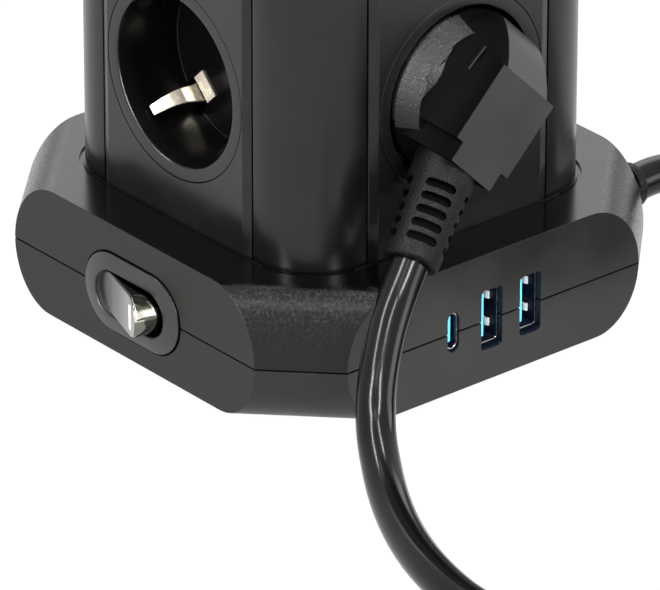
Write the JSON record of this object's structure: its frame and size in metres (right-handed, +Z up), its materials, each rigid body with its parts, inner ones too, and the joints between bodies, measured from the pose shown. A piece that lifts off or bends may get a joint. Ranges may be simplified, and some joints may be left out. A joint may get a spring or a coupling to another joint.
{
  "type": "tower power strip",
  "caption": "Square column with recessed earthed sockets on a base with rolled corners, a rocker switch and charging outlets; its lead lies coiled with the angle plug parked in a socket.",
  "frame": {"origin": "centre of the footprint, on the surface it stands on", "axes": "+Z up the column; -Y is the face with the charging outlets and the parked plug, -X the face with the switch"},
  "size_m": [0.1957, 0.2418, 0.1768],
  "materials": {
    "smooth_shell": "smooth matte",
    "grained_shell": "fine spark-eroded grain",
    "panel": "smooth satin",
    "gloss_cup": "gloss",
    "nickel": "bright nickel plate",
    "shutter": "matte",
    "switch": "satin to gloss",
    "outlet_shell": "drawn steel",
    "blue_tongue": "satin",
    "brass": "stamped",
    "screw": "zinc plated",
    "board": "solder mask",
    "inner_plastic": "plain",
    "foot_rubber": "matte",
    "lead_jacket": "satin",
    "plug_plastic": "fine grain"
  },
  "bodies": {
    "root": {"base_lower_shell": "smooth_shell", "base_upper_shell": "grained_shell", "rubber_feet": "foot_rubber", "base_screws": "screw", "switch_housing": "switch", "switch_terminals": "brass", "charging_board": "board", "board_parts": "inner_plastic", "usb_c_shell": "outlet_shell", "usb_a_shells": "outlet_shell", "usb_tongues": "blue_tongue", "lead_gland": "plug_plastic", "cord_clamp": "inner_plastic", "clamp_screws": "screw", "terminal_block": "inner_plastic", "inner_wires": "lead_jacket", "corner_posts": "grained_shell", "panel_front": "panel", "panel_right": "panel", "panel_back": "panel", "panel_left": "panel", "top_cap": "grained_shell", "column_screws": "screw", "rail_carrier": "inner_plastic", "live_rail": "brass", "neutral_rail": "brass", "earth_rail": "brass", "cup_front_low": "gloss_cup", "cup_front_high": "gloss_cup", "cup_right_low": "gloss_cup", "cup_right_high": "gloss_cup", "cup_back_low": "gloss_cup", "cup_back_high": "gloss_cup", "cup_left_low": "gloss_cup", "cup_left_high": "gloss_cup", "clip_front_low": "nickel", "clip_front_high": "nickel", "clip_right_low": "nickel", "clip_right_high": "nickel", "clip_back_low": "nickel", "clip_back_high": "nickel", "clip_left_low": "nickel", "clip_left_high": "nickel", "shutter_front_low": "shutter", "lead_near": "lead_jacket", "lead_coil": "lead_jacket", "lead_far": "lead_jacket"},
    "rocker": {"switch_rocker": "switch"},
    "plug": {"plug_body": "plug_plastic", "plug_pins": "nickel", "plug_earth_strips": "nickel", "plug_strain_relief": "plug_plastic"},
    "shutter_front_high": {"shutter_front_high": "shutter"},
    "shutter_right_low": {"shutter_right_low": "shutter"},
    "shutter_right_high": {"shutter_right_high": "shutter"},
    "shutter_back_low": {"shutter_back_low": "shutter"},
    "shutter_back_high": {"shutter_back_high": "shutter"},
    "shutter_left_low": {"shutter_left_low": "shutter"},
    "shutter_left_high": {"shutter_left_high": "shutter"}
  },
  "joints": [
    {"name": "rocker_tilt", "type": "hinge", "parent": "root", "child": "rocker", "pos_m": [-0.0556, 0, 0.0168], "axis": [0, 0, 1], "range_deg": [0, 36]},
    {"name": "plug_pull", "type": "slide", "parent": "root", "child": "plug", "axis": [0, -1, 0], "range_m": [0, 0.04], "deforming": ["lead_near"]},
    {"name": "shutter_front_high_turn", "type": "hinge", "parent": "root", "child": "shutter_front_high", "pos_m": [0, -0.0245, 0.1296], "axis": [0, -1, 0], "range_deg": [0, 42], "stiffness_Nm_per_rad": 0.002},
    {"name": "shutter_right_low_turn", "type": "hinge", "parent": "root", "child": "shutter_right_low", "pos_m": [0.0245, 0, 0.0676], "axis": [1, 0, 0], "range_deg": [0, 42], "stiffness_Nm_per_rad": 0.002},
    {"name": "shutter_right_high_turn", "type": "hinge", "parent": "root", "child": "shutter_right_high", "pos_m": [0.0245, 0, 0.1296], "axis": [1, 0, 0], "range_deg": [0, 42], "stiffness_Nm_per_rad": 0.002},
    {"name": "shutter_back_low_turn", "type": "hinge", "parent": "root", "child": "shutter_back_low", "pos_m": [0, 0.0245, 0.0676], "axis": [0, 1, 0], "range_deg": [0, 42], "stiffness_Nm_per_rad": 0.002},
    {"name": "shutter_back_high_turn", "type": "hinge", "parent": "root", "child": "shutter_back_high", "pos_m": [0, 0.0245, 0.1296], "axis": [0, 1, 0], "range_deg": [0, 42], "stiffness_Nm_per_rad": 0.002},
    {"name": "shutter_left_low_turn", "type": "hinge", "parent": "root", "child": "shutter_left_low", "pos_m": [-0.0245, 0, 0.0676], "axis": [-1, 0, 0], "range_deg": [0, 42], "stiffness_Nm_per_rad": 0.002},
    {"name": "shutter_left_high_turn", "type": "hinge", "parent": "root", "child": "shutter_left_high", "pos_m": [-0.0245, 0, 0.1296], "axis": [-1, 0, 0], "range_deg": [0, 42], "stiffness_Nm_per_rad": 0.002}
  ]
}
